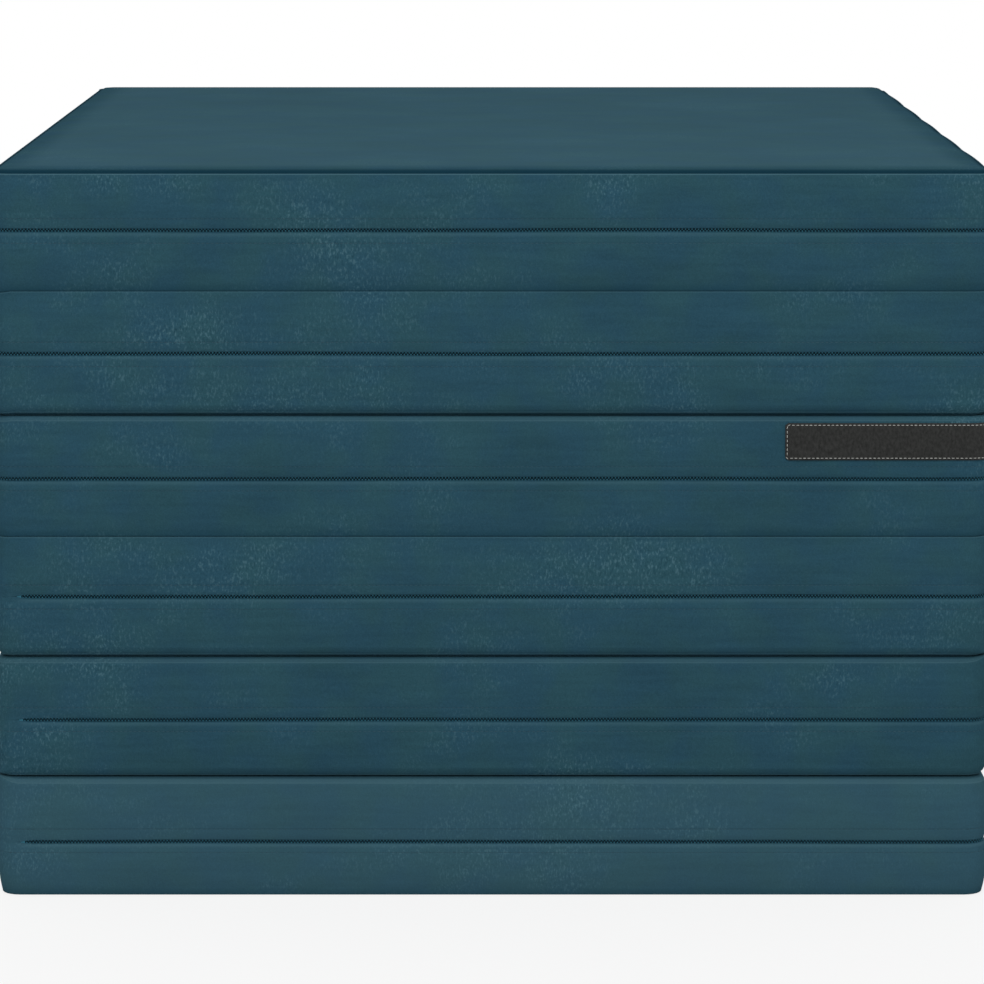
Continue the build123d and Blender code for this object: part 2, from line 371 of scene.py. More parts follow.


# Half a side's section from the zip to the face, as columns × points × 4: outward distance,
# height, painted shade and painted light
def sectionHalf(style, edge, slot, taped, thick):
    points = []

    def add(n, z, shade=0.0, paintedLight=0.0):
        values = [np.broadcast_to(value, slot.shape) for value in (n, z, shade, paintedLight)]
        points.append(np.stack(values, 1).astype(float))

    overhang = cover["overhang"] if (style, edge) == ("tight", "bottom") else 0.0
    if style == "crease":
        addSide(add, slot, taped, thick - crease["sideEnd"], overhang)
        addCrease(add, thick)
    else:
        roll = cover["tightRoll"] if style == "tight" else cover["rollRadius"]
        addSide(add, slot, taped, thick - roll, overhang)
        addRoll(add, style, edge, roll, thick, overhang)
    return np.stack(points, 1)


# The rim of the face grid, in the order of the columns round the panel
def rimOrder(nx, ny, m):
    right, back = nx + m, ny + m
    order = [(i, -m) for i in range(right + 1)]
    order += [(right, j) for j in range(-m + 1, back + 1)]
    order += [(i, back) for i in range(right - 1, -m - 1, -1)]
    order += [(-m, j) for j in range(back - 1, -m - 1, -1)]
    order += [(i, -m) for i in range(-m + 1, 0)]
    return order


def rimDistances(nx, ny, m):
    found, start = [], 0.0
    for run, count in zip(sideRuns, (nx, ny, nx, ny)):
        found += list(start + np.linspace(0, run, count + 1))
        start += run
        found += list(start + cornerRun * np.arange(1, 2 * m) / (2 * m))
        start += cornerRun
    return np.array(found)


# The inner vertices of a face, with a quarter disc in each corner
def facePlaces(nx, ny, m, rimRadius):
    places, spots = [], []
    for j in range(-m + 1, ny + m):
        for i in range(-m + 1, nx + m):
            overX = -i if i < 0 else max(i - nx, 0)
            overY = -j if j < 0 else max(j - ny, 0)
            x = -halfX + 2 * halfX * min(max(i, 0), nx) / nx
            y = -halfY + 2 * halfY * min(max(j, 0), ny) / ny
            reach = rimRadius * max(overX, overY) / m
            if overX or overY:
                turn = pi / 4 * min(overX, overY) / max(overX, overY)
                far, near = reach * cos(turn), reach * sin(turn)
                dx, dy = (near, far) if overY >= overX else (far, near)
                x += dx * (-1 if i < 0 else 1) if overX else 0
                y += dy * (-1 if j < 0 else 1) if overY else 0
            places.append((x, y))
            spots.append((i, j))
    return np.array(places), spots


def newObject(name, data):
    made = bpy.data.objects.new(name, data)
    bpy.context.scene.collection.objects.link(made)
    return made


def newMesh(name, points, faces, attributes=()):
    mesh = bpy.data.meshes.new(name)
    mesh.from_pydata((np.asarray(points) * mm).tolist(), [], faces)
    for title, values in attributes:
        layer = mesh.attributes.new(title, "FLOAT", "POINT")
        layer.data.foreach_set("value", np.asarray(values, np.float32))
    mesh.polygons.foreach_set("use_smooth", [True] * len(mesh.polygons))
    mesh.update()
    return newObject(name, mesh)


# A panel's middle height and half its thickness
def levels(number):
    low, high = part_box(f"panel_{number}_lower_cover"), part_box(f"panel_{number}_upper_cover")
    return (low[0].z + high[1].z) / 2 / mm, (high[1].z - low[0].z) / 2 / mm


# Draws the open edges beside the gaps together where a strip ends
def pullEdges(number, distance, z, thick):
    full = thick + cover["swell"]["open"]
    pull = cover["pull"]
    rolls = smooth((np.abs(z) - thick + pull["from"]) / pull["over"])
    for gap, face, part in ((number, full, z > 0), (number - 1, -full, z < 0)):
        for place in pulled.get(gap, ()):
            near = pull["share"] * bell(distance, place, pull["reach"])
            z = z + near[:, None] * rolls * part * (face - z)
    return z


# The crease round the top panel: scalloped on the right, and closed on the left and behind, where
# the crown hides it and one corner is pointed
def shapeCrease(distance, n, z, shade, thick):
    rim = smooth((n + cover["faceInset"]) / 3)
    wavy, closed, point, fade = (crease[part] for part in ("scallop", "closed", "point", "fade"))
    rightStart, rightEnd = sideRuns[0] + wavy["start"], sideRuns[0] + cornerRun + sideRuns[1]
    right = smooth((distance - rightStart) / fade) * smooth((rightEnd - distance) / fade)
    scallop = wavy["depth"] * np.abs(np.sin(distance * pi / wavy["length"])) - wavy["least"]
    n = n + (right * scallop)[:, None] * smooth((z - crease["from"]) / wavy["over"]) * rim
    frontCorner = roundRun - 0.7 * cornerRun
    hidden = smooth((distance - backStart - closed["start"]) / fade)
    hidden = (hidden * smooth((frontCorner - distance) / closed["fall"]))[:, None]
    valley = bell(n, -cover["sideDraw"] - closed["place"], closed["half"]) * (z > thick - 3)
    z = z + hidden * valley * closed["height"]
    shade = shade * (1 - closed["shade"] * hidden * (z > crease["from"]))
    pointed = bell(distance, sum(sideRuns[:3]) + 2.5 * cornerRun, point["half"]) * point["reach"]
    n = n + pointed[:, None] * smooth((z - point["from"]) / point["over"]) * rim
    return n, z, shade


# The sides of a cover, as outward distance, height, painted shade and painted light at each place round
# it
def sides(number, settings, distance, thick):
    share = zipShare(distance, settings)
    slot = cover["slotLeast"] + (cover["slotHalf"] - cover["slotLeast"]) * share
    taped = zipShare(distance, settings, cover["tapeBeyond"])
    upper = sectionHalf(settings["top"], "top", slot, taped, thick)
    lower = sectionHalf(settings["bottom"], "bottom", slot, taped, thick)[:, :0:-1]
    lower = lower * np.array([1, -1, 1, 1])
    # a painted highlight along the lower lip, under the opening
    lightBand, height = cover["lipHighlight"], lower[:, :, 1]
    lower[:, :, 3] += lightBand["most"] * (np.abs(height + lightBand["under"]) < lightBand["half"]) * share[:, None]
    n, z, shade, paintedLight = np.moveaxis(np.concatenate([lower, upper], 1), 2, 0)

    n = n + sway(number, distance[:, None], z)
    ripple = cover["edgeWave"] * wave(distance, 10 * number + 3) * zipOwn(distance)
    nearZip = (1 - np.sin(np.abs(z) / thick * pi)) * (np.abs(z) < cover["edgeWaveReach"])
    z = pullEdges(number, distance, z + ripple[:, None] * nearZip, thick)
    moves, start = np.ones_like(z), lines["gapFade"][0]
    for style, part in ((settings["top"], z > start), (settings["bottom"], z < -start)):
        inner, outer = lines["edgeFade"][style]
        moves = np.where(part, smooth((n - inner) / (outer - inner)), moves)
    z = z + lift(number, distance[:, None], z) * moves
    if number == 1:
        z = np.maximum(z, -thick)  # flat on the floor
    if settings["top"] == "crease":
        n, z, shade = shapeCrease(distance, n, z, shade, thick)
    # painted light that brightens a whole panel, where its settings give it
    return n, z, shade, paintedLight + settings.get("paintedBrighter", 0)


# Gentle hollows and swellings of a face
def faceRipple(number, places, toEdge):
    phase = np.random.default_rng(10 * number + 5).uniform(0, 2 * pi, 8)
    waves = ((0.4, 1.9, 0.7), (0.35, -0.8, 2.6), (0.25, 4.1, -1.9), (0.2, 2.2, 5.2))
    ripple = sum(amount * np.sin(alongX * places[:, 0] / 100 + alongY * places[:, 1] / 100 + start)
                 for (amount, alongX, alongY), start in zip(waves, phase))
    return ripple * smooth(toEdge / 60) * cover["faceWave"]


# One panel's cover as a closed skin: sides all round, and a grid on each face
def coverMesh(number, settings):
    middle, thick = levels(number)
    nx, ny = (round(run / cover["columnStep"]) for run in sideRuns[:2])
    m, inner = cover["cornerColumns"], cover["cornerRadius"] - cover["faceInset"]
    distance = rimDistances(nx, ny, m)
    n, z, shade, paintedLight = sides(number, settings, distance, thick)
    base, out = around(distance)
    flat = base[:, None] + out[:, None] * (cover["cornerRadius"] + n)[:, :, None]
    ring = np.dstack([flat, z + middle])
    columns, rows = n.shape

    places, spots = facePlaces(nx, ny, m, inner)
    toEdge = np.minimum(halfX + inner - np.abs(places[:, 0]), halfY + inner - np.abs(places[:, 1]))
    toEdge = np.maximum(toEdge, 0)
    ripple = faceRipple(number, places, toEdge)
    rest = cover["restWave"] * (ripple - cover["faceWave"])
    onTop = settings["top"] == "crease"
    crown = cover["crown"] * (1 - np.exp(-toEdge / cover["crownReach"]))
    topZ = ring[:, -1, 2].mean() + (crown + ripple if onTop else rest)
    bottomZ = ring[:, 0, 2].mean() - rest * (number > 1)
    points = np.concatenate([ring.reshape(-1, 3), np.column_stack([places, topZ]),
                             np.column_stack([places, bottomZ])])
    faces = []
    for c in range(columns):
        a, b = c * rows, (c + 1) % columns * rows
        faces += [(a + p, b + p, b + p + 1, a + p + 1) for p in range(rows - 1)]
    rimIndex = {spot: c for c, spot in enumerate(rimOrder(nx, ny, m))}
    for shift, rowOfRim, turned in ((columns * rows, rows - 1, False),
                                    (columns * rows + len(places), 0, True)):
        index = {spot: shift + k for k, spot in enumerate(spots)}
        index.update({spot: c * rows + rowOfRim for spot, c in rimIndex.items()})
        for j in range(-m, ny + m):
            for i in range(-m, nx + m):
                quad = (index[i, j], index[i + 1, j], index[i + 1, j + 1], index[i, j + 1])
                faces.append(quad[::-1] if turned else quad)
    edgeShade, plain = np.exp(-toEdge / cover["faceShade"]), np.zeros(len(places))
    shade = np.concatenate([shade.ravel(), plain if onTop else edgeShade, edgeShade])
    # painted light on the top face, growing away from its edges
    paintedBrighter = cover["topPaintedLight"] * smooth(toEdge / 20) * onTop
    paintedLight = np.concatenate([paintedLight.ravel(), paintedBrighter, plain])
    return newMesh(f"panel_{number}_cover", points, faces, [("shade", shade), ("paintedLight", paintedLight)])


# A tree that sets slanted grains at every step of a path: two rows of teeth, or a row of stitches
def grainTree(name, material, rows, pivot="Z"):
    tree = bpy.data.node_groups.new(name, "GeometryNodeTree")
    tree.interface.new_socket("Path", in_out="INPUT", socket_type="NodeSocketGeometry")
    for title in ("Spacing", "Length", "Thickness", "Slant", "Spread"):
        tree.interface.new_socket(title, in_out="INPUT", socket_type="NodeSocketFloat")
    tree.interface.new_socket("Row", in_out="OUTPUT", socket_type="NodeSocketGeometry")
    given = tree.nodes.new("NodeGroupInput").outputs
    curve = addNode(tree, "GeometryNodeMeshToCurve", {0: given["Path"]})
    steps = addNode(tree, "GeometryNodeResampleCurve", {
        "Curve": curve.outputs[0], "Length": given["Spacing"]}, mode="LENGTH")
    grain = addNode(tree, "GeometryNodeMeshUVSphere", {"Segments": 6, "Rings": 4, "Radius": 0.5})
    size = addNode(tree, "ShaderNodeCombineXYZ", {
        0: given["Thickness"], 1: given["Thickness"], 2: given["Length"]})
    half = addNode(tree, "ShaderNodeMath", {0: given["Spacing"], 1: 0.5}, operation="MULTIPLY")
    joined = tree.nodes.new("GeometryNodeJoinGeometry")
    for sign, forward in ((1, 0.0), (-1, half.outputs[0]))[:rows]:
        slant = addNode(tree, "ShaderNodeMath", {0: given["Slant"], 1: sign}, operation="MULTIPLY")
        spread = addNode(tree, "ShaderNodeMath", {0: given["Spread"], 1: sign}, operation="MULTIPLY")
        turn = addNode(tree, "ShaderNodeCombineXYZ", {1: slant.outputs[0]})
        move = addNode(tree, "ShaderNodeCombineXYZ", {0: forward, 2: spread.outputs[0]})
        placed = addNode(tree, "GeometryNodeTransform", {
            "Geometry": grain.outputs["Mesh"], "Translation": move.outputs[0],
            "Rotation": turn.outputs[0], "Scale": size.outputs[0]})
        tree.links.new(placed.outputs[0], joined.inputs[0])
    tangent = tree.nodes.new("GeometryNodeInputTangent")
    aligned = addNode(tree, "FunctionNodeAlignRotationToVector", {
        "Vector": tangent.outputs[0]}, axis="X", pivot_axis=pivot)
    grains = addNode(tree, "GeometryNodeInstanceOnPoints", {
        "Points": steps.outputs[0], "Instance": joined.outputs[0], "Rotation": aligned.outputs[0]})
    real = addNode(tree, "GeometryNodeRealizeInstances", {0: grains.outputs[0]})
    rounded = addNode(tree, "GeometryNodeSetShadeSmooth", {0: real.outputs[0]})
    dressed = addNode(tree, "GeometryNodeSetMaterial", {0: rounded.outputs[0], "Material": material})
    tree.links.new(dressed.outputs[0], tree.nodes.new("NodeGroupOutput").inputs[0])
    return tree


# Grains along one or more paths, as one plain mesh
def grainRow(name, tree, paths, sizes):
    points, edges = [], []
    for path, closed in paths:
        start, count = len(points), len(path)
        points += (np.asarray(path) * mm).tolist()
        edges += [(start + k, start + k + 1) for k in range(count - 1)]
        if closed:
            edges.append((start + count - 1, start))
    mesh = bpy.data.meshes.new(name + "_path")
    mesh.from_pydata(points, edges, [])
    path = newObject(name + "_path", mesh)
    modifier = path.modifiers.new("grains", "NODES")
    modifier.node_group = tree
    values = {"Spacing": sizes["spacing"] * mm, "Length": sizes["length"] * mm,
              "Thickness": sizes["thickness"] * mm, "Slant": radians(sizes["slant"]),
              "Spread": sizes["spread"] * mm}
    for socket in tree.interface.items_tree:
        if socket.in_out == "INPUT" and socket.name in values:
            modifier[socket.identifier] = values[socket.name]
    graph = bpy.context.evaluated_depsgraph_get()
    made = bpy.data.meshes.new_from_object(path.evaluated_get(graph), depsgraph=graph)
    bpy.data.objects.remove(path)
    made.name = name
    return newObject(name, made)


# A line round a panel at a height over its middle, outward from the widest place of the side
def lineRound(number, start, end, outward, height, step=4):
    distance = np.linspace(start, end, max(2, round((end - start) / step)))
    base, out = around(distance)
    side = cover["cornerRadius"] + outward + sway(number, distance, np.full(len(distance), height))
    place = base + out * np.reshape(side, (-1, 1))
    return np.column_stack([place, levels(number)[0] + height + lift(number, distance, height)])


# Teeth of one zip, with a stop clamped on at each end
def zipTeeth(number, tree):
    run, height, depth = teeth["stop"]
    start, end = panels[number - 1]["zipStart"] + teeth["stopFromEnd"], zipEnd - teeth["stopFromEnd"]
    path = lineRound(number, start + run / 2, end - run / 2, -teeth["behind"], 0)
    row = grainRow(f"panel_{number}_zip_teeth", tree, [(path, False)], teeth)
    made = bmesh.new()
    made.from_mesh(row.data)
    made.faces.ensure_lookup_table()
    finish = made.faces[0].material_index
    for place in (start, end):
        tail, head = lineRound(number, place - run / 2, place + run / 2, -teeth["behind"], 0, step=run)
        along, out = Vector(head - tail).normalized(), Vector((*around([place])[1][0], 0))
        turn = Matrix((along * run, out * depth, Vector((0, 0, height)))).transposed().to_4x4() * mm
        turn.translation, turn[3][3] = Vector(head + tail) / 2 * mm, 1
        block = bmesh.ops.create_cube(made, size=1, matrix=turn)
        for face in {face for vertex in block["verts"] for face in vertex.link_faces}:
            face.material_index = finish
        edges = list({edge for vertex in block["verts"] for edge in vertex.link_edges})
        bmesh.ops.bevel(made, geom=edges, offset=teeth["stopBevel"] * mm, segments=2, profile=0.5,
                        affect="EDGES", material=finish)
    made.to_mesh(row.data)
    made.free()
    return row


def tapeStitches(number, tree):
    beyond, paths = cover["stitchBeyond"], []
    start, end = panels[number - 1]["zipStart"] - beyond, zipEnd + beyond
    for height in (-cover["stitchHeight"], cover["stitchHeight"]):
        outward = sideOut(height) - cover["stitchGroove"] + tapeStitch["inGroove"]
        paths.append((lineRound(number, start, end, outward, height), False))
    return grainRow(f"panel_{number}_tape_stitches", tree, paths, tapeStitch)


# A closed thin skin over a grid of places, with a rim: outer and inner are rows × columns × 3
def thinSkin(name, outer, inner, attributes=()):
    rows, columns = outer.shape[:2]
    points = np.concatenate([outer.reshape(-1, 3), inner.reshape(-1, 3)])
    grid, faces = np.arange(rows * columns).reshape(rows, columns), []
    shift, parts = grid.size, (grid[:-1, :-1], grid[:-1, 1:], grid[1:, 1:], grid[1:, :-1])
    for quad in zip(*(part.ravel().tolist() for part in parts)):
        faces += [quad, tuple(shift + v for v in quad[::-1])]
    rim = np.concatenate([grid[0], grid[1:, -1], grid[-1, -2::-1], grid[-2:0:-1, 0]]).tolist()
    for a, b in zip(rim, rim[1:] + rim[:1]):
        faces.append((b, a, shift + a, shift + b))
    return newMesh(name, points, faces, attributes)


# How far a patch's end is drawn in near its corners, at a distance from its long edge
def cornerInset(fromEdge, corner):
    near = np.clip(corner - fromEdge, 0, corner)
    return corner - np.sqrt(corner**2 - near**2)


# One joining strip, sewn flat to two panels and free over the fold between them
def joiningStrip(fold, material):
    low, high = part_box(f"fold_{fold}_lower_strip"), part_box(f"fold_{fold}_upper_strip")
    level = (low[1].z + high[0].z) / 2 / mm
    reach = (high[1].z - low[0].z) / 2 / mm
    axis = 0 if high[1].x - high[0].x > high[1].y - high[0].y else 1
    across = 1 - axis
    start, end = low[0][axis] / mm, low[1][axis] / mm
    outward = 1 if low[0][across] > 0 else -1
    outerPlace = (low[1] if outward > 0 else low[0])[across] / mm
    count = max(2, round((end - start) / strip["step"]))
    heights = np.linspace(-reach, reach, strip["rows"])[:, None]
    inset = cornerInset(reach - np.abs(heights), strip["corner"])
    places = start + inset + (end - start - 2 * inset) * np.linspace(0, 1, count)[None]
    uneven = 1
    for k, (amount, length) in enumerate(strip["waves"], 1):
        uneven = uneven + amount * np.sin(places / length + k * fold)
    bow = strip["bow"] * bell(heights, 0, strip["bowHalf"]) * uneven
    hem = bell(reach - np.abs(heights), strip["hem"], strip["hemHalf"]) * strip["hemDepth"]
    outer = outerPlace - outward * (bow + hem)
    inner = outer - outward * (strip["thickness"] - strip["sunk"])
    up = level + np.repeat(heights, count, 1)

    def skin(side):
        parts = [side, places] if axis == 1 else [places, side]
        return np.dstack([*parts, up])

    flip = slice(None, None, -1) if (axis == 1) == (outward < 0) else slice(None)
    shade = np.repeat(strip["foldShade"] * bell(heights, 0, strip["foldShadeHalf"]), count, 1)
    piece = thinSkin(f"fold_{fold}_strip", skin(outer)[:, flip], skin(inner)[:, flip],
                     [("shade", np.concatenate([shade.ravel()] * 2))])
    piece.data.materials.append(material)
    seams = {}
    run = np.linspace(start + strip["hem"], end - strip["hem"], strip["seamPoints"])
    side = np.full_like(run, outerPlace - outward * strip["stitchSunk"])
    for part, sign in (("lower", -1), ("upper", 1)):
        line = np.full_like(run, level + sign * (reach - strip["hem"]))
        seams[part] = np.column_stack([side, run, line] if axis == 1 else [run, side, line])
    return piece, seams, level, (end - start, 2 * reach)


# How far an open panel edge has rolled in at a height over the middle
def rolled(height):
    radius = cover["rollRadius"]
    over = np.clip(height - 2 * quarter + radius, 0, radius)
    return radius - np.sqrt(radius**2 - over**2)


# Places on the label, which lies on a panel's side, at a distance out from its underside
def onLabel(distance, height, outward):
    number = label["panel"]
    base, out = around(distance.ravel())
    side = cover["cornerRadius"] + sideOut(height) + label["clearance"] - rolled(height)
    side = side + sway(number, distance, height) + outward
    flat = base + out * side.reshape(-1, 1)
    up = levels(number)[0] + height + lift(number, distance, height)
    return np.concatenate([flat.reshape(*distance.shape, 2), up[..., None]], -1)


# The bare canvas label, wrapped round the front right corner of one panel
def canvasLabel(material):
    low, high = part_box("label_patch")
    middle, hem = levels(label["panel"])[0], label["hem"]
    start, end = low.x / mm + halfX, sideRuns[0] + cornerRun + high.y / mm + halfY
    bottom, top = low.z / mm - middle, high.z / mm - middle
    heights = np.linspace(bottom, top, label["rows"])[:, None]
    count = round((end - start) / label["step"])
    fromLong = np.minimum(heights - bottom, top - heights)
    inset = cornerInset(fromLong, label["corner"])
    distance = start + inset + (end - start - 2 * inset) * np.linspace(0, 1, count)[None]
    creases = 0.05 * np.sin(distance / 2.9) * np.sin(distance / 11 + 1) + 0.02 * np.sin(distance / 1.7)
    toEdge = np.minimum(fromLong, np.minimum(distance - start, end - distance))
    sewn = label["hemDepth"] * bell(toEdge, hem, 0.5)
    outer = onLabel(distance, heights, label["thickness"] + creases * smooth(toEdge / 3) - sewn)
    piece = thinSkin("label_canvas", outer, onLabel(distance, heights, 0))
    piece.data.materials.append(material)
    rows = np.linspace(bottom + hem, top - hem, 8)
    along = np.linspace(start + hem, end - hem, 70)
    loop = [(d, bottom + hem) for d in along] + [(end - hem, r) for r in rows[1:]]
    loop += [(d, top - hem) for d in along[-2::-1]] + [(start + hem, r) for r in rows[-2:0:-1]]
    border = onLabel(*np.array(loop).T, label["thickness"] - label["stitchSunk"])
    return piece, border, (end - start, top - bottom)


# Foam block inside one cover
def foamBlock(number, material):
    low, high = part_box(f"panel_{number}_foam_core")
    made = bmesh.new()
    bmesh.ops.create_cube(made, size=1)
    inset = [core["inset"], core["inset"], core["faceInset"]]
    for vertex in made.verts:
        for k in range(3):
            half = (high[k] - low[k]) / 2 - inset[k] * mm
            vertex.co[k] = (high[k] + low[k]) / 2 + 2 * vertex.co[k] * half
    bmesh.ops.bevel(made, geom=made.edges[:], offset=core["bevel"] * mm, segments=4, profile=0.5,
                    affect="EDGES")
    mesh = bpy.data.meshes.new(f"panel_{number}_foam")
    made.to_mesh(mesh)
    made.free()
    mesh.polygons.foreach_set("use_smooth", [True] * len(mesh.polygons))
    mesh.materials.append(material)
    return newObject(mesh.name, mesh)


def nodeTree(name):
    made = bpy.data.materials.new(name)
    made.use_nodes = True
    tree = made.node_tree
    return made, tree, tree.nodes["Principled BSDF"]


def feed(tree, node, inputs):
    for key, value in inputs.items():
        if isinstance(value, bpy.types.NodeSocket):
            tree.links.new(value, node.inputs[key])
        else:
            node.inputs[key].default_value = value


def addNode(tree, kind, inputs=None, **settings):
    node = tree.nodes.new(kind)
    for key, value in settings.items():
        setattr(node, key, value)
    feed(tree, node, inputs or {})
    return node


def linear(red, green, blue):
    values = [v / 255 for v in (red, green, blue)]
    return tuple(v / 12.92 if v < 0.04045 else ((v + 0.055) / 1.055) ** 2.4 for v in values) + (1,)


def objectPlace(tree):
    return addNode(tree, "ShaderNodeTexCoord").outputs["Object"]


def noiseAt(tree, scale, stretch=(1, 1, 1), detail=2, roughness=0.5):
    mapped = addNode(tree, "ShaderNodeMapping", {"Vector": objectPlace(tree), "Scale": stretch})
    return addNode(tree, "ShaderNodeTexNoise", {
        "Vector": mapped.outputs[0], "Scale": scale, "Detail": detail,
        "Roughness": roughness}).outputs[0]


def ranged(tree, value, low, high, toLow=0.0, toHigh=1.0):
    return addNode(tree, "ShaderNodeMapRange", {
        "Value": value, "From Min": low, "From Max": high,
        "To Min": toLow, "To Max": toHigh}).outputs[0]


def times(tree, a, b):
    return addNode(tree, "ShaderNodeMath", {0: a, 1: b}, operation="MULTIPLY").outputs[0]


def plus(tree, a, b):
    return addNode(tree, "ShaderNodeMath", {0: a, 1: b}, operation="ADD").outputs[0]


def mixColour(tree, share, a, b, blend="MIX"):
    node = addNode(tree, "ShaderNodeMix", {0: share, 6: a, 7: b}, data_type="RGBA", blend_type=blend)
    return node.outputs[2]


def bumped(tree, height, strength, distance):
    return addNode(tree, "ShaderNodeBump", {
        "Height": height, "Strength": strength, "Distance": distance}).outputs[0]


velourLook = {
    "green": linear(46, 81, 92),
    "blue": linear(44, 79, 95),
    # paler teal, for raised nap and for painted light
    "light": linear(76, 110, 122),
    # dark teal, for sunk nap and for painted shade
    "crease": linear(16, 48, 62),
    "sheen": linear(135, 178, 200),
    # noise scales, for each metre
    "blotches": 30,
    "clouds": 9,
    "nap": 820,
    "grain": 1100,
    "streaks": 260,
    "ripples": 55,
    # how strong the nap is in brushed patches, and everywhere
    "patches": 0.62,
    "even": 0.05,
    "tone": (0.83, 1.04),
    # painted light and painted shade carried by the meshes' attributes
    "painted": (("paintedLight", 0.8, "light"), ("shade", 0.92, "crease")),  # share, and towards what
}


# Short pile with brushed patches, paler where light is painted on and dark where shade is painted in its
# creases
def velour(name, look):
    made, tree, shader = nodeTree(name)
    blotches = noiseAt(tree, look["blotches"], detail=3)
    clouds = noiseAt(tree, look["clouds"], (1, 1, 1.6), detail=3, roughness=0.6)
    nap = noiseAt(tree, look["nap"], (1, 1, 0.5), detail=1)
    grain = noiseAt(tree, look["grain"], detail=1)
    streaks = noiseAt(tree, look["streaks"], (0.08, 1, 1))
    colour = mixColour(tree, ranged(tree, blotches, 0.4, 0.6), look["green"], look["blue"])
    patchy = plus(tree, times(tree, ranged(tree, clouds, 0.5, 0.7), look["patches"]), look["even"])
    raised = times(tree, ranged(tree, nap, 0.56, 0.68), patchy)
    colour = mixColour(tree, raised, colour, look["light"])
    sunk = times(tree, ranged(tree, nap, 0.42, 0.32), times(tree, patchy, 0.5))
    colour = mixColour(tree, sunk, colour, look["crease"])
    tone = plus(tree, ranged(tree, grain, 0.25, 0.75, -0.09, 0.09),
                ranged(tree, streaks, 0.3, 0.7, -0.05, 0.05))
    tone = plus(tree, tone, ranged(tree, clouds, 0.3, 0.75, *look["tone"]))
    toneColour = addNode(tree, "ShaderNodeCombineColor", {0: tone, 1: tone, 2: tone}).outputs[0]
    colour = mixColour(tree, 1.0, colour, toneColour, "MULTIPLY")
    for title, share, aim in look["painted"]:
        amount = addNode(tree, "ShaderNodeAttribute", attribute_name=title).outputs["Fac"]
        colour = mixColour(tree, times(tree, amount, share), colour, look[aim])
    height = plus(tree, times(tree, grain, 0.35), times(tree, nap, 0.5))
    height = plus(tree, height, times(tree, noiseAt(tree, look["ripples"]), 1.5))
    feed(tree, shader, {
        "Base Color": colour, "Normal": bumped(tree, height, 0.35, 0.0006), "Roughness": 0.9,
        "Specular IOR Level": 0, "Sheen Weight": 0.075, "Sheen Roughness": 0.45,
        "Sheen Tint": look["sheen"]})
    return made


# Woven tape and canvas: two sets of threads that cross, on horizontal run and height
def woven(name, light, dark, thread, slubs=(90, (0.5, 0.5, 2))):
    made, tree, shader = nodeTree(name)
    parts = addNode(tree, "ShaderNodeSeparateXYZ", {0: objectPlace(tree)}).outputs
    turns = 2 * pi / (thread * mm)
    run, rise = times(tree, plus(tree, parts[0], parts[1]), turns), times(tree, parts[2], turns)
    warp, weft = (addNode(tree, "ShaderNodeMath", {0: angle}, operation="SINE").outputs[0]
                  for angle in (run, rise))
    cloth = ranged(tree, times(tree, warp, weft), -1, 1)
    height = plus(tree, cloth, ranged(tree, noiseAt(tree, *slubs, detail=3), 0.3, 0.7))
    feed(tree, shader, {
        "Base Color": mixColour(tree, times(tree, height, 0.5), dark, light),
        "Normal": bumped(tree, height, 0.5, 0.0002), "Roughness": 0.85,
        "Specular IOR Level": 0.25, "Sheen Weight": 0.1})
    return made


# Thread, moulded and metal parts of one colour with a little unevenness
def plainFinish(name, light, dark, scale, roughness, metallic=0.0, shine=0.5):
    made, tree, shader = nodeTree(name)
    uneven = noiseAt(tree, scale, detail=4, roughness=0.6)
    feed(tree, shader, {
        "Base Color": mixColour(tree, ranged(tree, uneven, 0.3, 0.7), dark, light),
        "Normal": bumped(tree, uneven, 0.4, 0.0001),
        "Roughness": ranged(tree, uneven, 0.3, 0.7, *roughness),
        "Metallic": metallic, "Specular IOR Level": shine})
    return made


def foamFinish():
    made, tree, shader = nodeTree("cut_foam")
    cells = addNode(tree, "ShaderNodeTexVoronoi", {"Vector": objectPlace(tree), "Scale": 620})
    depth = cells.outputs["Distance"]
    # the cells' hollows are painted darker, as painted shade in the pores
    pale, poreShade = linear(233, 222, 190), linear(196, 180, 140)
    feed(tree, shader, {
        "Base Color": mixColour(tree, ranged(tree, depth, 0.1, 0.7), poreShade, pale),
        "Normal": bumped(tree, depth, 0.6, 0.0005), "Roughness": 0.95})
    return made


stripLook = dict(velourLook, green=linear(43, 78, 92), blue=linear(44, 78, 97))
teal = velour("teal_velour", velourLook)
joining = velour("joining_velour", stripLook)
# it is one layer, which lets light through
feed(joining.node_tree, joining.node_tree.nodes["Principled BSDF"], {
    "Subsurface Weight": 0.5, "Subsurface Radius": (0.6, 1, 1.2), "Subsurface Scale": 0.002})
tape = woven("zip_tape", linear(34, 62, 74), linear(18, 40, 52), 0.9)
canvas = woven("charcoal_canvas", linear(53, 54, 53), linear(2, 3, 2), 0.8, slubs=(700, (1, 1, 0.6)))
tealThread = plainFinish("teal_thread", linear(48, 84, 98), linear(34, 66, 80), 900, (0.8, 0.9))
greyThread = plainFinish("grey_thread", linear(196, 198, 193), linear(150, 152, 148), 900, (0.6, 0.8))
nylon = plainFinish("zip_nylon", linear(40, 104, 123), linear(26, 82, 101), 400, (0.6, 0.75), shine=0.3)
nickel = plainFinish("dark_nickel", linear(150, 150, 150), linear(92, 93, 96), 220, (0.25, 0.45), 1.0)
foam = foamFinish()
print("materials made")

toothTree = grainTree("zip_teeth", nylon, rows=2)
stitchTree = grainTree("teal_stitches", tealThread, rows=1)
labelTree = grainTree("label_stitches", greyThread, rows=1, pivot="AUTO")

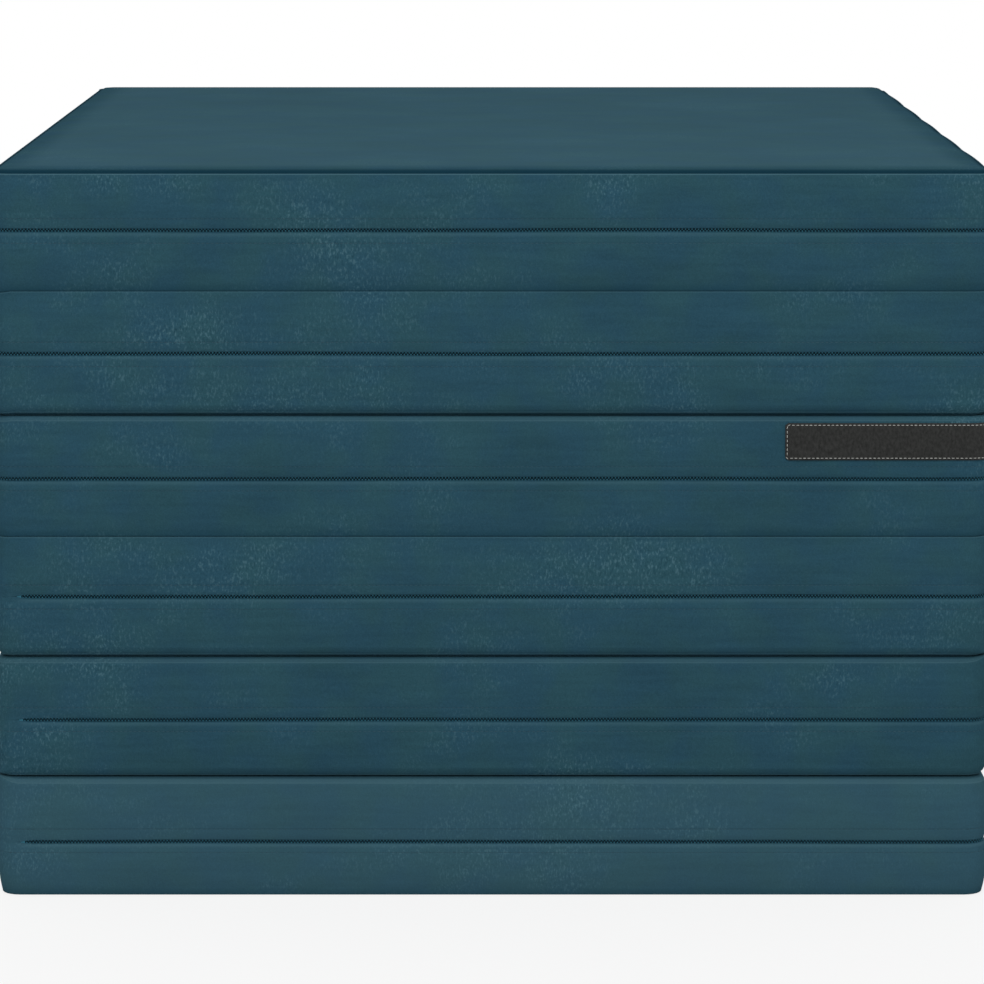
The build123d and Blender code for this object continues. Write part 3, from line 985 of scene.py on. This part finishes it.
for number, settings in enumerate(panels, 1):
    skin = coverMesh(number, settings)
    skin.data.materials.append(teal)
    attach(skin, f"panel_{number}")
    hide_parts(f"panel_{number}_upper_cover", f"panel_{number}_lower_cover")
    print("cover made for panel", number)

    block = foamBlock(number, foam)
    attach(block, f"panel_{number}")
    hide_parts(f"panel_{number}_foam_core")

    row = zipTeeth(number, toothTree)
    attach(row, f"panel_{number}")
    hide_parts(f"panel_{number}_zip_coils")
    row = tapeStitches(number, stitchTree)
    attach(row, f"panel_{number}")
    for part, finish in (("zip_tapes", tape), ("zip_slider", nickel), ("zip_pull", nickel)):
        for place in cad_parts[f"panel_{number}_{part}"].material_slots:
            place.material = finish
print("zips made")

# Strips over the folds, each stitched to the panel below and the one above
for fold in range(1, len(panels)):
    piece, seams, level, cut = joiningStrip(fold, joining)
    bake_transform(piece)
    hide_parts(f"fold_{fold}_lower_strip", f"fold_{fold}_upper_strip")
    for part, number in (("lower", fold), ("upper", fold + 1)):
        row = grainRow(f"fold_{fold}_{part}_stitches", stitchTree, [(seams[part], False)],
                       strip["stitch"])
        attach(row, f"panel_{number}")
print("strips made")

patch, border, cut = canvasLabel(canvas)
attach(patch, f"panel_{label['panel']}")
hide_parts("label_patch")
row = grainRow("label_stitches", labelTree, [(border, True)], label["stitch"])
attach(row, f"panel_{label['panel']}")
print("label made")


# Stage, light and camera: the camera sees white, and the object is lit by a pale floor and a dome
stage = {
    "half": 60,
    "below": 0.0004,
    "bounce": 0.76,
    "pale": 0.9,
    "whiter": (0.7, 2.2, 0.8, 1),  # between these distances, from and to this share of pure white
    "dome": 0.55,
    "key": {"place": (0.0, -3.4, 2.9), "aim": (0, 0, 0.25), "size": (3.4, 2.0), "energy": 76},
}


def grey(level):
    return (level, level, level, 1)


def seenDirectly(tree, *rays):
    path = addNode(tree, "ShaderNodeLightPath").outputs
    seen = plus(tree, path["Is Camera Ray"], path["Is Glossy Ray"])
    for ray in rays:
        seen = plus(tree, seen, path[ray])
    return seen


def stageFloor():
    mesh = bpy.data.meshes.new("floor")
    square = [(x * stage["half"], y * stage["half"], -stage["below"])
              for x, y in ((-1, -1), (1, -1), (1, 1), (-1, 1))]
    mesh.from_pydata(square, [], [(0, 1, 2, 3)])
    floor = newObject("floor", mesh)
    made, tree, shader = nodeTree("pale_floor")
    tree.nodes.remove(shader)
    bounce = addNode(tree, "ShaderNodeBsdfDiffuse", {"Color": grey(stage["bounce"])})
    lit = addNode(tree, "ShaderNodeBsdfDiffuse", {"Color": grey(stage["pale"])})
    white = addNode(tree, "ShaderNodeEmission", {"Color": grey(1), "Strength": 1})
    away = addNode(tree, "ShaderNodeVectorMath", {0: objectPlace(tree)}, operation="LENGTH")
    share = ranged(tree, away.outputs["Value"], *stage["whiter"])
    pale = addNode(tree, "ShaderNodeMixShader", {0: share, 1: lit.outputs[0], 2: white.outputs[0]})
    both = addNode(tree, "ShaderNodeMixShader", {
        0: seenDirectly(tree), 1: bounce.outputs[0], 2: pale.outputs[0]})
    tree.links.new(both.outputs[0], tree.nodes["Material Output"].inputs[0])
    mesh.materials.append(made)


def studioWorld():
    world = bpy.data.worlds.new("studio")
    world.use_nodes = True
    tree = world.node_tree
    dome = addNode(tree, "ShaderNodeBackground", {"Color": grey(1), "Strength": stage["dome"]})
    white = addNode(tree, "ShaderNodeBackground", {"Color": grey(1), "Strength": 1})
    both = addNode(tree, "ShaderNodeMixShader", {
        0: seenDirectly(tree, "Is Transmission Ray"), 1: dome.outputs[0], 2: white.outputs[0]})
    tree.links.new(both.outputs[0], tree.nodes["World Output"].inputs[0])
    bpy.context.scene.world = world


def keyLight():
    key = stage["key"]
    data = bpy.data.lights.new("front_key", "AREA")
    data.shape, data.energy = "RECTANGLE", key["energy"]
    data.size, data.size_y = key["size"]
    lamp = newObject("front_key", data)
    lamp.location = key["place"]
    aim = Vector(key["aim"]) - Vector(key["place"])
    lamp.rotation_euler = aim.to_track_quat("-Z", "Y").to_euler()


def viewCamera():
    data = bpy.data.cameras.new("view")
    data.lens, data.sensor_width, data.shift_y = (camera[k] for k in ("lens", "sensor", "shift"))
    seen = newObject("view", data)
    seen.location = [v * mm for v in camera["place"]]
    seen.rotation_euler = (radians(90 - camera["pitch"]), 0, 0)
    bpy.context.scene.camera = seen


stageFloor()
studioWorld()
keyLight()
viewCamera()
bpy.context.scene.view_settings.view_transform = "Standard"
